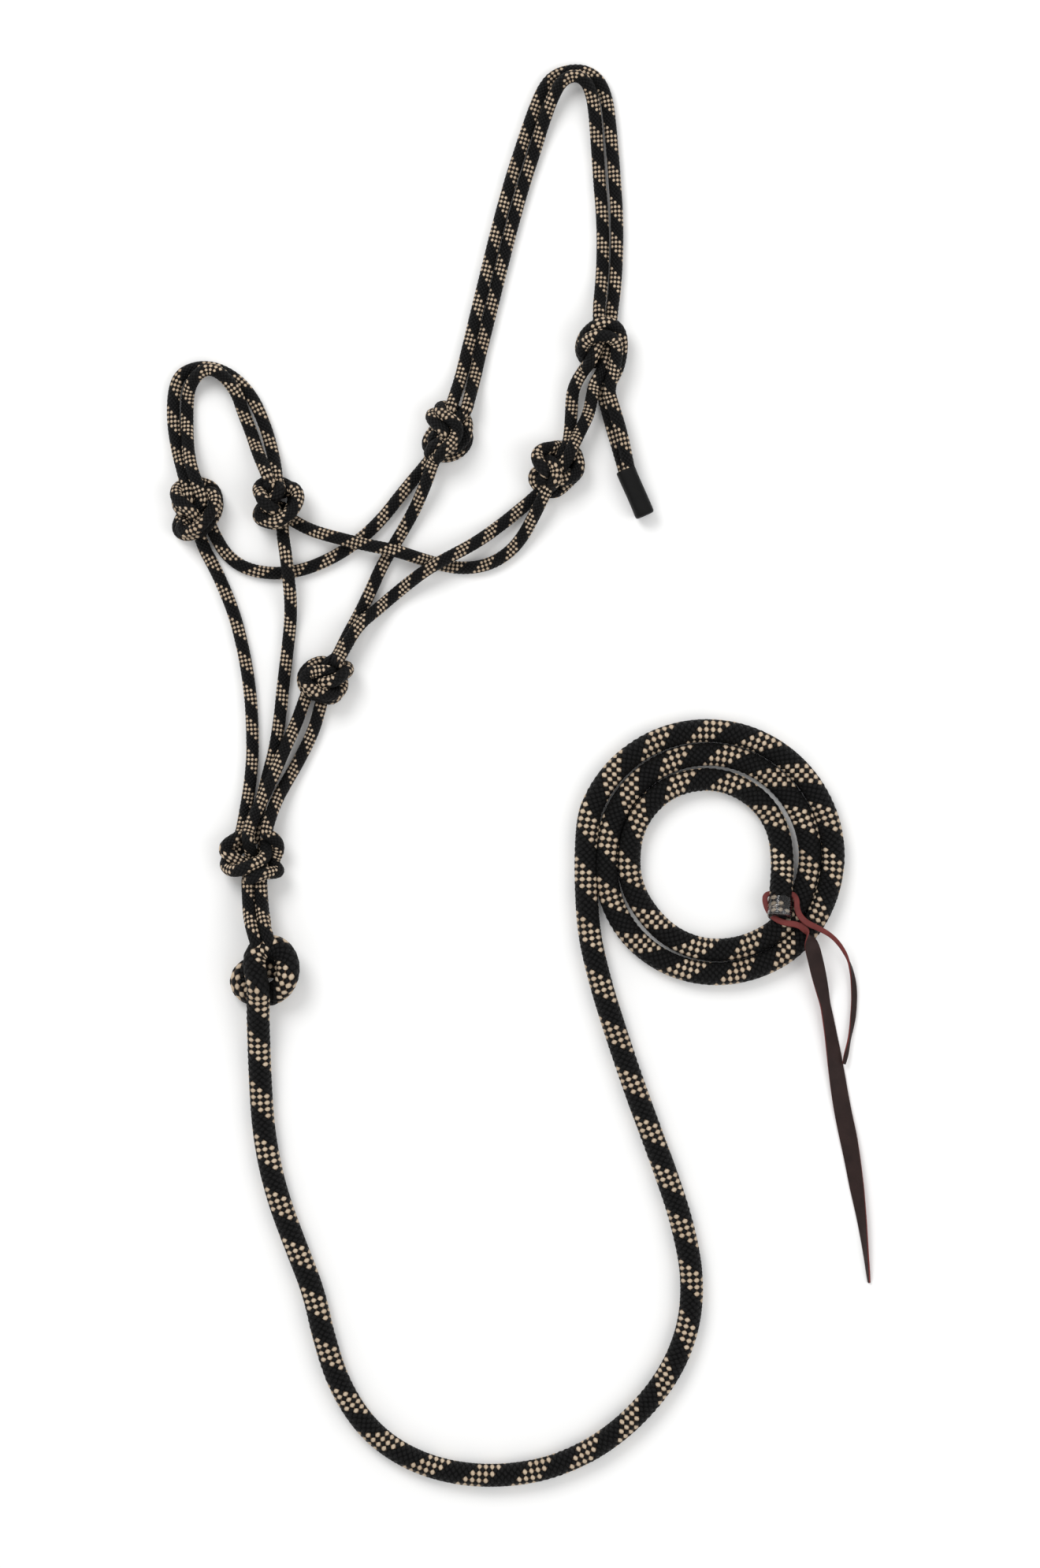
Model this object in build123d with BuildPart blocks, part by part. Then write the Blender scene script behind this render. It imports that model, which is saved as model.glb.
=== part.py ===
"""Rope halter with its lead rope, lying flat: +Z up, millimetres.

The halter is one cord, knotted into a noseband, two cheeks, two jaw cords, a throat, a chin
and a crown. The crown is tied to an eye, and the lead rope is knotted onto the lead loop. The
lead runs off in a wide bend and ends in a flat coil with a leather popper on its end. The
origin is on the ground under the middle of the halter and the lead's knot. Each stretch of
cord and each knot is a solid of its own.
"""
from build123d import *
from math import pi, radians, tan
import os

# Driving dimensions
CORD = 8.2            # diameter of the halter cord
LEAD = 14.8           # diameter of the lead rope
STACK = CORD + 0.4    # from the middle of one cord to the middle of the one on it
ARC_SHARE = 0.45      # how much of the shorter run a bend's arc takes up
KNOT_HEIGHT = 24.0    # height of a knot tied in two cords
FIADOR_HEIGHT = 27.0
TIE_HEIGHT = 27.0
LEAD_KNOT_HEIGHT = 36.0
KNOT_ROUNDING = 6.5   # rounding of a knot's upper and lower edges
LEAD_KNOT_ROUNDING = 11.0
SWING_GAP = 0.7       # room round a cord that turns in a knot
BIGHT_BEND = 5.0      # radius of the lead loop's bend
EDGE_FLAT = 0.1       # half the flat left between a strap's rounded edges

# Turning points of the loose ends
LEAD_PIVOT = (-96.5, -247.5)      # middle of the lead loop's bight
TAIL_PIVOT = (124.0, 84.5)        # where the crown tail leaves the tie

# Coil: a flat spiral whose outer edge steps out where the lead rope joins it
COIL_STEP = [(101, -203.5), (116.5, -203.5)]
COIL_EDGE = [
    (101, -203.5), (128.5, -141.5), (189.5, -116), (250.5, -141), (275.5, -202),
    (249, -260), (192, -284.5), (138.5, -259.5), (116.5, -203.5),
]
COIL_HOLE = (186.5, -208)
COIL_HOLE_RADII = (41, 48)
NOTCH_X = (210, 246)              # room in the coil for the rope's end and its popper
NOTCH_Y = (-243.5, -222.5)

# Rope end, whipping and popper
END_TOP = (234, -222.7)
END_TIP = (233.2, -240.5)
END_HEIGHT = 8.2
ROPE_END_ROUNDING = 2.0
WHIPPING_TOP = (233.7, -230.5)
WHIPPING_TIP = (233.3, -239.5)
WHIPPING_WALL = 0.5
STRAP_WIDTH = 10.0
STRAP_THICKNESS = 1.6
LACE_WIDTH = 3.0
LACE_THICKNESS = 1.8

# Black sleeve on the crown tail
SLEEVE_TOP = (136.7, 41.0)
SLEEVE_END = (149, 12.8)
SLEEVE_WIDTH = 12.5
SLEEVE_HEIGHT = 16.0
SLEEVE_ROUNDING = 5.5
SLEEVE_RIM_ROUNDING = 1.5

# Routes of the cords, as (x, y, height of the cord's middle)
# Over the nose from the left nose knot to the right one: the outer cord, on the ground.
NOSEBAND_OUTER = [
    (-142, 26.5, 6), (-143.5, 39.5, 5), (-147.5, 53.5, 4.2), (-150.5, 73, 4.1), (-150, 91.5, 4.1),
    (-146, 102.5, 4.1), (-136, 107, 4.1), (-125.5, 107, 4.1), (-115.5, 103, 4.1),
    (-107, 96.5, 4.1), (-98.5, 85.5, 4.1), (-92, 70, 4.1), (-87.5, 54.5, 4.1), (-85.5, 43.5, 5),
    (-84.5, 33.5, 6.5),
]
# The inner cord of the noseband rides on the outer one at both knots and over the arch.
NOSEBAND_INNER = [
    (-138, 25.5, 15), (-139.5, 37, 14), (-140, 48.5, 12.2), (-141, 60.5, 8), (-141.5, 76.5, 4.4),
    (-141, 90.5, 5), (-137.5, 98.5, 9), (-132.5, 103.5, 12.6), (-126, 105.5, 12.8),
    (-119, 102, 12.7), (-113.5, 96, 12), (-109, 89, 9.5), (-106, 79, 5.5), (-101, 66.5, 4.6),
    (-97, 54.5, 7.5), (-93, 44.5, 12.8), (-89, 34, 15),
]
# Left nose knot down to the fiador knot.
JAW_LEFT = [
    (-135.5, 4.5, 6), (-131.5, -6.5, 4.6), (-125.5, -17, 4.1), (-119, -30.5, 4.1),
    (-111, -50.5, 4.1), (-105, -75.5, 4.1), (-101.5, -98, 4.1), (-100, -120.5, 4.1),
    (-100, -143.5, 4.1), (-102.5, -163.5, 4.6), (-105, -178, 6.5), (-107.5, -189.5, 8),
]
# Right nose knot down to the fiador knot, over the left cheek cord.
JAW_RIGHT = [
    (-81.5, 13, 9), (-80.5, 1.5, 11), (-78.5, -11.5, 13.6), (-76.5, -28.5, 13.8),
    (-75.5, -42.5, 8.5), (-76, -55.5, 4.3), (-78, -73.5, 4.1), (-80.5, -93.5, 4.1),
    (-82.5, -114, 4.1), (-85.5, -133.5, 4.1), (-91, -154.5, 4.1), (-95.5, -172.5, 5),
    (-97.5, -188.5, 7),
]
# Left nose knot to the left throat knot, on the ground all the way.
CHEEK_LEFT = [
    (-127.5, 10.5, 12), (-122.5, -2.5, 11.5), (-116, -12.5, 7.5), (-105, -20.5, 4.2),
    (-88, -24, 4.1), (-69.5, -22, 4.1), (-50.5, -14.5, 4.1), (-34, -4, 4.1), (-20, 8.5, 4.1),
    (-8, 23.5, 4.1), (2, 36, 4.3), (9, 44.5, 5.5), (14.5, 54, 6.5),
]
# Right nose knot to the right throat knot, over the left cheek and left throat cords.
CHEEK_RIGHT = [
    (-72, 13, 10), (-63, 5, 12), (-50, -0.5, 13.6), (-30, -5.5, 13.8), (-9, -9.5, 13.8),
    (5, -14, 8.5), (17, -17.5, 4.3), (31.5, -20.5, 4.1), (47, -19, 4.1), (61, -12, 4.1),
    (70.5, -1.5, 5.5), (77, 10, 9.5), (82.5, 21, 13), (88, 32, 15), (91, 39, 15.5),
]
# Left throat knot down to the chin knot.
THROAT_LEFT = [
    (18.5, 54.5, 15.3), (14, 42, 14.2), (8.5, 29.5, 12), (3, 17, 7), (-6.5, 0.5, 4.3),
    (-17, -16.5, 4.1), (-25.5, -35.5, 4.1), (-33, -51, 4.1), (-40, -62.5, 5), (-47, -77.5, 6.5),
]
# Right throat knot down to the chin knot, over the right cheek cord.
THROAT_RIGHT = [
    (92.5, 38.5, 6.5), (84, 29.5, 5), (71.5, 18.5, 4.2), (58, 7.5, 4.2), (43, -3.5, 8.5),
    (29, -11.5, 13.8), (13.5, -19.5, 13.9), (0, -29, 8.5), (-13, -39.5, 4.6), (-22.5, -48, 8),
    (-31, -55, 13.2), (-39, -65.5, 14.2), (-45.5, -79, 15.5),
]
# Chin knot down to the fiador knot, climbing onto the right jaw cord.
CHIN_LEFT = [
    (-64, -95.5, 6.5), (-68, -108, 6), (-73, -120.5, 6.5), (-78.5, -133, 10.8),
    (-84.5, -147.5, 12.9), (-92, -164, 13), (-99, -178, 14.5), (-102, -189.5, 16.5),
]
# The second cord from the chin knot to the fiador knot.
CHIN_RIGHT = [
    (-54.5, -97.5, 8), (-57.5, -112, 5.5), (-62.5, -126, 4.2), (-70.5, -142, 4.2),
    (-78.5, -156, 5.5), (-84, -166, 9), (-88.5, -178, 13.5), (-91, -189.5, 15.5),
]
# Left throat knot over the poll to the crown tie: the outer cord, on the ground.
CROWN_OUTER = [
    (21, 67.5, 10), (25.5, 80.5, 8), (31, 96.5, 5), (35.5, 114.5, 4.1), (40.5, 135.5, 4.1),
    (47.5, 164, 4.1), (54, 190.5, 4.1), (62, 220.5, 4.1), (70.5, 247, 4.1), (77.5, 267.5, 4.1),
    (83.5, 282.5, 4.1), (90.5, 291.5, 4.1), (100, 295, 4.1), (110.5, 295, 4.1), (119, 290, 4.1),
    (124.5, 278, 4.1), (127, 257, 4.1), (129, 232, 4.1), (131, 204.5, 4.1), (131, 178, 4.1),
    (129.5, 154.5, 4.1), (128, 141.5, 5), (127, 129.5, 6.5),
]
# The inner crown cord rides on the outer one over the poll and into the tie.
CROWN_INNER = [
    (30.5, 66.5, 11), (35.5, 80.5, 8.5), (40, 96.5, 5.5), (44, 114.5, 4.1), (49, 134.5, 4.1),
    (56, 163, 4.1), (62.5, 189, 4.1), (70.5, 218.5, 4.1), (79, 244.5, 4.3), (84.5, 262.5, 6.5),
    (90, 277, 10.5), (95.5, 287, 12.9), (103, 291, 13), (110.5, 288.5, 12.8), (115, 279.5, 10.5),
    (117, 266, 7.5), (118.5, 245.5, 4.5), (120, 222.5, 4.1), (122, 199, 4.1), (122, 173, 4.1),
    (120.5, 153.5, 6.5), (119.5, 140.5, 11.5), (119, 128.5, 14.5),
]
# The two legs of the eye that the crown is tied to, from the right throat knot.
EYE_LEFT = [
    (98, 50.5, 6.5), (97, 62.5, 6.5), (97, 75.5, 7.5), (100, 88, 9), (105.5, 97.5, 10.5),
    (110.5, 105.5, 11),
]
# The second leg of the eye lies a little higher.
EYE_RIGHT = [
    (102.5, 49.5, 15.5), (104, 62.5, 14), (107.5, 72, 12.5), (112, 80.5, 11.5), (114.5, 89, 11),
]
# The free end of the crown beyond the tie: two cords, one half on the other.
TAIL_LOWER = [
    (123, 83.5, 4.2), (127, 71, 4.1), (132, 54.5, 4.15), (138, 37, 4.1),
]
# The upper cord of the crown tail.
TAIL_UPPER = [
    (127.5, 85, 12), (131.5, 72.5, 11.6), (136.5, 56, 11.5), (142.5, 38.5, 11.3),
]
# The lower lead loop: out of the fiador knot, round the lead and back.
LEAD_LOOP_LOWER = [
    (-103.5, -211.5, 7), (-102.5, -225.5, 6), (-102, -238.5, 5.5), (-101.5, -252, 5),
    (-91.5, -252.5, 5), (-91, -238.5, 5.5), (-92, -225.5, 6), (-94, -211.5, 7),
]
# The lead rope from its knot, round the wide bend, up to where the coil begins.
LEAD_ROPE = [
    (-95.5, -290.5, 13), (-96, -305.5, 10.5), (-95.5, -327, 7.6), (-94.5, -354.5, 7.4),
    (-92, -383.5, 7.4), (-85, -415.5, 7.4), (-73.5, -447, 7.4), (-61, -478.5, 7.4),
    (-54, -511, 7.4), (-42.5, -543.5, 7.4), (-21.5, -571.5, 7.4), (10, -589.5, 7.4),
    (48, -596, 7.4), (88.5, -591, 7.4), (125.5, -573, 7.4), (157, -542.5, 7.4),
    (175, -508.5, 7.4), (179.5, -472.5, 7.4), (172.5, -435, 7.4), (159.5, -396.5, 7.4),
    (143.5, -354, 7.4), (129.5, -312.5, 7.4), (118.5, -276.5, 7.4), (111.5, -242.5, 7.4),
    (108.5, -204, 7.4),
]
# The thong goes through the rope end, and both sides meet below its tip.
POPPER_LOOP = [
    (231.5, -225.5, 8.2), (225.5, -225.5, 8.6), (222.5, -231, 10.5), (225.5, -239, 14.2),
    (233.5, -244, 17), (241, -243.5, 17.2), (245, -239.5, 17.2), (243, -232.5, 14.8),
    (241.5, -227, 10.5), (236, -225, 8.2),
]
# The leather popper: the wide strap over the coil and down to the ground.
POPPER_STRAP = [
    (246.5, -242, 20), (250, -251.5, 19), (254.5, -263.5, 17.8), (258, -276.5, 13),
    (261, -290.5, 5.5), (264.5, -310.5, 1.8), (269.5, -335.5, 1.4), (273.5, -361.5, 1.4),
    (279, -386.5, 1.4), (283, -414.5, 1.4), (286.5, -440.5, 1.4), (291, -473.5, 1.4),
]
# The narrow end of the same thong bows out and comes back onto the strap.
POPPER_LACE = [
    (247.5, -242.5, 22), (255.5, -245.5, 21.5), (264.5, -250.5, 19), (273, -259, 12),
    (278.5, -270.5, 5), (281.5, -285.5, 1.8), (281.5, -303.5, 1.4), (279, -320.5, 1.8),
    (276, -334.5, 3.3),
]

# Knots, each as round lobes (x, y, radius) inside one skin
NOSE_KNOT_LEFT = [(-132.5, 20.5, 14), (-142.5, 26.5, 8.5), (-142.5, 7, 9), (-129.5, 4.5, 6.5)]
NOSE_KNOT_RIGHT = [(-78.5, 23, 13.5), (-91.5, 24.5, 8.5), (-93.5, 14, 7), (-82, 12.5, 6)]
THROAT_KNOT_LEFT = [(16, 74.5, 8.5), (27.5, 60.5, 13.5), (15, 56.5, 9)]
THROAT_KNOT_RIGHT = [(85.5, 45.5, 11), (101, 42, 11), (94.5, 31, 6)]
CHIN_KNOT = [(-59.5, -88, 13.5), (-45, -83.5, 7.5), (-47.5, -101.5, 6.5), (-58.5, -95.5, 11)]
FIADOR_KNOT = [(-113, -195, 10.5), (-88, -195, 10.5), (-114.5, -208, 8.5), (-84, -209.5, 8)]
CROWN_TIE = [(121, 124, 15), (122.5, 108, 15.5), (118, 94.5, 10.5)]
LEAD_KNOT = [(-88, -269, 20), (-99, -283, 16), (-101.5, -259.5, 7)]


def save(part, name):
    """Label a finished piece and write it."""
    part.label = name
    export_step(part, f"parts/{name}.step")


def bend_radii(name, points):
    """The largest tangent arc at each corner that its two runs leave room for."""
    spots = [Vector(*point) for point in points]
    radii = []
    for before, corner, after in zip(spots, spots[1:], spots[2:]):
        run_in = corner - before
        run_out = after - corner
        shorter = min(run_in.length, run_out.length)
        half_turn = radians(run_in.get_angle(run_out)) / 2
        radii.append(ARC_SHARE * shorter / tan(half_turn))
    print(f"{name}: tightest bend {min(radii):.1f} mm")
    return radii


def make_cord(name, points, diameter):
    """A round cord of straight runs joined by tangent arcs."""
    with BuildPart() as cord:
        with BuildLine() as route:
            FilletPolyline(*points, radius=bend_radii(name, points))
        path = route.wire()
        with BuildSketch(Plane(origin=path @ 0, z_dir=path % 0)):
            Circle(diameter / 2)
        sweep()
    share = cord.part.volume / (pi * diameter**2 / 4 * path.length)
    print(f"{name}: {path.length:.0f} mm long, {share:.3f} of section times length")
    save(cord.part, name)


def make_strap(name, points, width, thickness):
    """A flat strap that stays level across its width."""
    with BuildPart() as strap:
        with BuildLine() as route:
            FilletPolyline(*points, radius=bend_radii(name, points))
        path = route.wire()
        across = Vector(0, 0, 1).cross(path % 0)
        with BuildSketch(Plane(origin=path @ 0, x_dir=across, z_dir=path % 0)):
            RectangleRounded(width, thickness, thickness / 2 - EDGE_FLAT)
        sweep()
    save(strap.part, name)


def knot_body(lobes, height, rounding):
    """A knot's outer shape: its lobes in one skin, rounded above and below."""
    with BuildPart() as knot:
        with BuildSketch():
            for x, y, radius in lobes:
                with Locations((x, y)):
                    Circle(radius)
            make_hull()
        extrude(amount=height)
        rims = knot.edges().group_by(Axis.Z)
        fillet(rims[0] + rims[-1], radius=rounding)
    return knot.part


def make_knot(name, lobes, height):
    save(knot_body(lobes, height, KNOT_ROUNDING), name)


def make_crown_tie():
    """The tie, with a round notch in which the crown tail turns."""
    notch_radius = CORD + SWING_GAP
    with BuildPart() as tie:
        add(knot_body(CROWN_TIE, TIE_HEIGHT, KNOT_ROUNDING))
        with BuildSketch():
            with Locations(TAIL_PIVOT):
                Circle(notch_radius)
        extrude(amount=TIE_HEIGHT, mode=Mode.SUBTRACT)
    save(tie.part, "crown_tie")


def make_lead_knot():
    """The lead's knot, with the notch in which it turns round the lead loop."""
    bight_radius = BIGHT_BEND + CORD / 2 + SWING_GAP
    with BuildPart() as knot:
        add(knot_body(LEAD_KNOT, LEAD_KNOT_HEIGHT, LEAD_KNOT_ROUNDING))
        with BuildSketch():
            with Locations(LEAD_PIVOT):
                Circle(bight_radius)
        extrude(amount=LEAD_KNOT_HEIGHT, mode=Mode.SUBTRACT)
    save(knot.part, "lead_knot")


def make_coil():
    """The coiled lead: one flat ring of its outer shape, notched for the rope's end."""
    with BuildPart() as coil:
        with BuildSketch():
            with BuildLine():
                for start, middle, end in zip(COIL_EDGE[::2], COIL_EDGE[1::2], COIL_EDGE[2::2]):
                    ThreePointArc(start, middle, end)
                Line(*COIL_STEP)
            make_face()
            with Locations(COIL_HOLE):
                Ellipse(*COIL_HOLE_RADII, mode=Mode.SUBTRACT)
            notch_middle = (sum(NOTCH_X) / 2, sum(NOTCH_Y) / 2)
            with Locations(notch_middle):
                Rectangle(NOTCH_X[1] - NOTCH_X[0], NOTCH_Y[1] - NOTCH_Y[0], mode=Mode.SUBTRACT)
        extrude(amount=LEAD)
    save(coil.part, "lead_coil")


def end_plane(start, tip):
    """A plane across the rope's end at start, facing its tip."""
    heading = Vector(*tip) - Vector(*start)
    return Plane(origin=(*start, END_HEIGHT), z_dir=heading), heading.length


def make_rope_end():
    plane, length = end_plane(END_TOP, END_TIP)
    with BuildPart() as stub:
        with BuildSketch(plane):
            Circle(LEAD / 2)
        extrude(amount=length)
        fillet(stub.faces().sort_by(Axis.Y)[0].edges(), radius=ROPE_END_ROUNDING)
    save(stub.part, "lead_rope_end")


def make_whipping():
    plane, length = end_plane(WHIPPING_TOP, WHIPPING_TIP)
    with BuildPart() as whipping:
        with BuildSketch(plane):
            Circle(LEAD / 2 + WHIPPING_WALL)
            Circle(LEAD / 2, mode=Mode.SUBTRACT)
        extrude(amount=length)
    save(whipping.part, "lead_end_whipping")


def make_tail_sleeve():
    """The black sleeve that holds the two ends of the crown tail together."""
    heading = Vector(*SLEEVE_END) - Vector(*SLEEVE_TOP)
    across = Vector(0, 0, 1).cross(heading)
    middle = (*SLEEVE_TOP, SLEEVE_HEIGHT / 2)
    with BuildPart() as sleeve:
        with BuildSketch(Plane(origin=middle, x_dir=across, z_dir=heading)):
            RectangleRounded(SLEEVE_WIDTH, SLEEVE_HEIGHT, SLEEVE_ROUNDING)
        extrude(amount=heading.length)
        fillet(sleeve.faces().sort_by(Axis.Y)[0].edges(), radius=SLEEVE_RIM_ROUNDING)
    save(sleeve.part, "tail_sleeve")


def raised(points, lift):
    return [(x, y, z + lift) for x, y, z in points]


os.makedirs("parts", exist_ok=True)

HALTER_CORDS = {
    "noseband_cord_outer": NOSEBAND_OUTER,
    "noseband_cord_inner": NOSEBAND_INNER,
    "jaw_cord_left": JAW_LEFT,
    "jaw_cord_right": JAW_RIGHT,
    "cheek_cord_left": CHEEK_LEFT,
    "cheek_cord_right": CHEEK_RIGHT,
    "throat_cord_left": THROAT_LEFT,
    "throat_cord_right": THROAT_RIGHT,
    "chin_cord_left": CHIN_LEFT,
    "chin_cord_right": CHIN_RIGHT,
    "crown_cord_outer": CROWN_OUTER,
    "crown_cord_inner": CROWN_INNER,
    "eye_cord_left": EYE_LEFT,
    "eye_cord_right": EYE_RIGHT,
    "tail_cord_lower": TAIL_LOWER,
    "tail_cord_upper": TAIL_UPPER,
    "lead_loop_lower": LEAD_LOOP_LOWER,
    "lead_loop_upper": raised(LEAD_LOOP_LOWER, STACK),
}
for cord_name, cord_points in HALTER_CORDS.items():
    make_cord(cord_name, cord_points, CORD)

make_knot("nose_knot_left", NOSE_KNOT_LEFT, KNOT_HEIGHT)
make_knot("nose_knot_right", NOSE_KNOT_RIGHT, KNOT_HEIGHT)
make_knot("throat_knot_left", THROAT_KNOT_LEFT, KNOT_HEIGHT)
make_knot("throat_knot_right", THROAT_KNOT_RIGHT, KNOT_HEIGHT)
make_knot("chin_knot", CHIN_KNOT, KNOT_HEIGHT)
make_knot("fiador_knot", FIADOR_KNOT, FIADOR_HEIGHT)
make_crown_tie()
make_tail_sleeve()

make_lead_knot()
make_cord("lead_rope", LEAD_ROPE, LEAD)
make_coil()
make_rope_end()
make_whipping()
make_cord("popper_loop", POPPER_LOOP, LACE_WIDTH)
make_strap("popper_strap", POPPER_STRAP, STRAP_WIDTH, STRAP_THICKNESS)
make_strap("popper_lace", POPPER_LACE, LACE_WIDTH, LACE_THICKNESS)
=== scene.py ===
"""Looks of a rope halter with its lead: braided cords, knots, sleeve, whipping and leather popper."""
import bpy
import math
import numpy as np
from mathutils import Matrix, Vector


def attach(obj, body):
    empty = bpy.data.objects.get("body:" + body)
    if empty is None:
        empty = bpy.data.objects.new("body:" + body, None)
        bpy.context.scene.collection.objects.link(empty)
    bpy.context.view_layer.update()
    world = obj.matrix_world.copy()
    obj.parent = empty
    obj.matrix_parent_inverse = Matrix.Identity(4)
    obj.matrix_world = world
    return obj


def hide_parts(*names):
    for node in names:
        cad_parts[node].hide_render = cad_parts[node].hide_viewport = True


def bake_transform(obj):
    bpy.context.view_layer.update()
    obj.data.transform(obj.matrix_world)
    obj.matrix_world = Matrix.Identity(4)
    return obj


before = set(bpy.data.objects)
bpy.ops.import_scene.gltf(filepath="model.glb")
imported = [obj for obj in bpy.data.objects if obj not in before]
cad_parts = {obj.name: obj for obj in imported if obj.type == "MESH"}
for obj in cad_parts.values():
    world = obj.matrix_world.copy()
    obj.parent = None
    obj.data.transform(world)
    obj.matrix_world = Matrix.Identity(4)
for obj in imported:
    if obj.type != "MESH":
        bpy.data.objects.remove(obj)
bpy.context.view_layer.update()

# ---------------- driving dimensions, in metres
MM = 0.001
UP = (0.0, 0.0, 1.0)
CORD = 8.2 * MM  # halter cord
LEAD = 14.8 * MM  # lead rope
HALTER_CEILING = 27 * MM  # no strand of a knot rises above this
LEAD_CEILING = 38 * MM
VIEW_CENTRE = (0.0695, -0.157)
VIEW_HEIGHT = 0.995  # of the floor, from the bottom of the picture to its top
CAMERA_HEIGHT = 3.0
SENSOR = 36.0  # in millimetres
FLOOR_REACH = 12.0

# ---------------- camera, floor and light


def make_camera():
    """Straight above the halter, which lies on the floor with +Y up the picture."""
    data = bpy.data.cameras.new("camera")
    data.sensor_width = SENSOR
    data.lens = SENSOR * CAMERA_HEIGHT / VIEW_HEIGHT
    data.clip_start = 0.1
    data.clip_end = 30
    camera = bpy.data.objects.new("camera", data)
    camera.location = (*VIEW_CENTRE, CAMERA_HEIGHT)
    bpy.context.collection.objects.link(camera)
    bpy.context.scene.camera = camera


def make_floor():
    data = bpy.data.meshes.new("floor")
    corners = [(x * FLOOR_REACH, y * FLOOR_REACH, 0) for x, y in ((-1, -1), (1, -1), (1, 1), (-1, 1))]
    data.from_pydata(corners, [], [(0, 1, 2, 3)])
    floor = bpy.data.objects.new("floor", data)
    bpy.context.collection.objects.link(floor)
    material = bpy.data.materials.new("floor")
    material.use_nodes = True
    shader = material.node_tree.nodes["Principled BSDF"]
    shader.inputs["Base Color"].default_value = (0.93, 0.93, 0.925, 1)
    shader.inputs["Roughness"].default_value = 0.9
    shader.inputs["Specular IOR Level"].default_value = 0.1
    data.materials.append(material)


def make_area_light(name, place, size, power):
    data = bpy.data.lights.new(name, "AREA")
    data.shape = "DISK"
    data.size = size
    data.energy = power
    lamp = bpy.data.objects.new(name, data)
    lamp.location = place
    heading = Vector((*VIEW_CENTRE, 0)) - lamp.location
    lamp.rotation_euler = heading.to_track_quat("-Z", "Y").to_euler()
    bpy.context.collection.objects.link(lamp)


def make_light():
    world = bpy.data.worlds.new("studio")
    world.use_nodes = True
    world.node_tree.nodes["Background"].inputs["Color"].default_value = (1, 1, 1, 1)
    world.node_tree.nodes["Background"].inputs["Strength"].default_value = 0.75
    bpy.context.scene.world = world
    bpy.context.scene.view_settings.view_transform = "Standard"
    make_area_light("key", place=(-1.0, 1.3, 2.2), size=1.4, power=34)
    make_area_light("fill", place=(1.6, -0.6, 2.0), size=1.8, power=14)


# ---------------- shader nodes


class Nodes:
    """Short calls that add shader nodes to one material."""

    def __init__(self, name):
        self.material = bpy.data.materials.new(name)
        self.material.use_nodes = True
        self.tree = self.material.node_tree
        self.shader = self.tree.nodes["Principled BSDF"]

    def node(self, kind, **settings):
        made = self.tree.nodes.new(kind)
        for key, value in settings.items():
            setattr(made, key, value)
        return made

    def put(self, socket, value):
        """Links a socket, or sets it to a number or colour."""
        if isinstance(value, bpy.types.NodeSocket):
            self.tree.links.new(value, socket)
        else:
            socket.default_value = value

    def colour(self, value):
        self.put(self.shader.inputs["Base Color"], value)

    def finish(self, roughness, specular, normal):
        """Sets what every material here has, and gives the material."""
        self.put(self.shader.inputs["Roughness"], roughness)
        self.shader.inputs["Specular IOR Level"].default_value = specular
        self.put(self.shader.inputs["Normal"], normal)
        return self.material

    def uv(self, layer):
        """The two coordinates of a UV layer."""
        parts = self.node("ShaderNodeSeparateXYZ")
        self.put(parts.inputs[0], self.node("ShaderNodeUVMap", uv_map=layer).outputs["UV"])
        return parts.outputs["X"], parts.outputs["Y"]

    def math(self, operation, *values, clamp=False):
        made = self.node("ShaderNodeMath", operation=operation, use_clamp=clamp)
        for socket, value in zip(made.inputs, values):
            self.put(socket, value)
        return made.outputs[0]

    def noise(self, scale, detail, vector=None, rough=0.5):
        made = self.node("ShaderNodeTexNoise")
        if vector is None:
            vector = self.node("ShaderNodeTexCoord").outputs["Object"]
        self.put(made.inputs["Vector"], vector)
        made.inputs["Scale"].default_value = scale
        made.inputs["Detail"].default_value = detail
        made.inputs["Roughness"].default_value = rough
        return made.outputs["Fac"]

    def mix(self, share, first, second, kind="RGBA"):
        made = self.node("ShaderNodeMix", data_type=kind)
        self.put(made.inputs["Factor"], share)
        self.put(made.inputs["A"], first)
        self.put(made.inputs["B"], second)
        return made.outputs["Result"]

    def ramp(self, value, start, end, kind="LINEAR"):
        """0 where the value is at start, and 1 where it is at end."""
        made = self.node("ShaderNodeMapRange", interpolation_type=kind)
        self.put(made.inputs["Value"], value)
        made.inputs["From Min"].default_value = start
        made.inputs["From Max"].default_value = end
        return made.outputs["Result"]

    def bump(self, height, distance, strength):
        made = self.node("ShaderNodeBump")
        made.inputs["Strength"].default_value = strength
        made.inputs["Distance"].default_value = distance
        self.put(made.inputs["Height"], height)
        return made.outputs["Normal"]


# ---------------- braid
# Across the rope u counts strands of one hand, and along it v counts picks. A strand of the
# light hand keeps v - u, and one of the dark hand keeps u + v.
STRANDS = 8  # of each hand round the rope
LIGHT_STRANDS = 4  # of the strands of the light hand, how many are tan
BRAID_START = 1.5  # so that the colours meet where two cords start or end face to face
BRAID_DRIFT = 0.9  # strands the braid turns by, and back, along a cord
DRIFT_PICKS = 17.0  # how slowly it does so
CROWDING = 0.11  # how far the strands crowd together on the rope's top and underside
WAVE = 0.50  # how far a strand rises and falls, beside how round it is
ROUND = 0.62
BULGE = 0.96  # share of a half circle that a strand's section is
LEAD_TAN = ((0.72, 0.60, 0.45, 1), (0.48, 0.37, 0.26, 1))
HALTER_TAN = ((0.67, 0.55, 0.41, 1), (0.38, 0.29, 0.20, 1))  # its yarn is a shade browner
TAN_FIBRE_PAINTED_SHADE = (0.28, 0.19, 0.125, 1)  # painted shade between the fibres of a tan pick
TAN_HOLLOW_PAINTED_SHADE = (0.050, 0.028, 0.017, 1)  # painted shade on a tan pick where it dives under the next strand and towards its rim
BLACK = (0.0100, 0.0095, 0.0095, 1)
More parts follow.
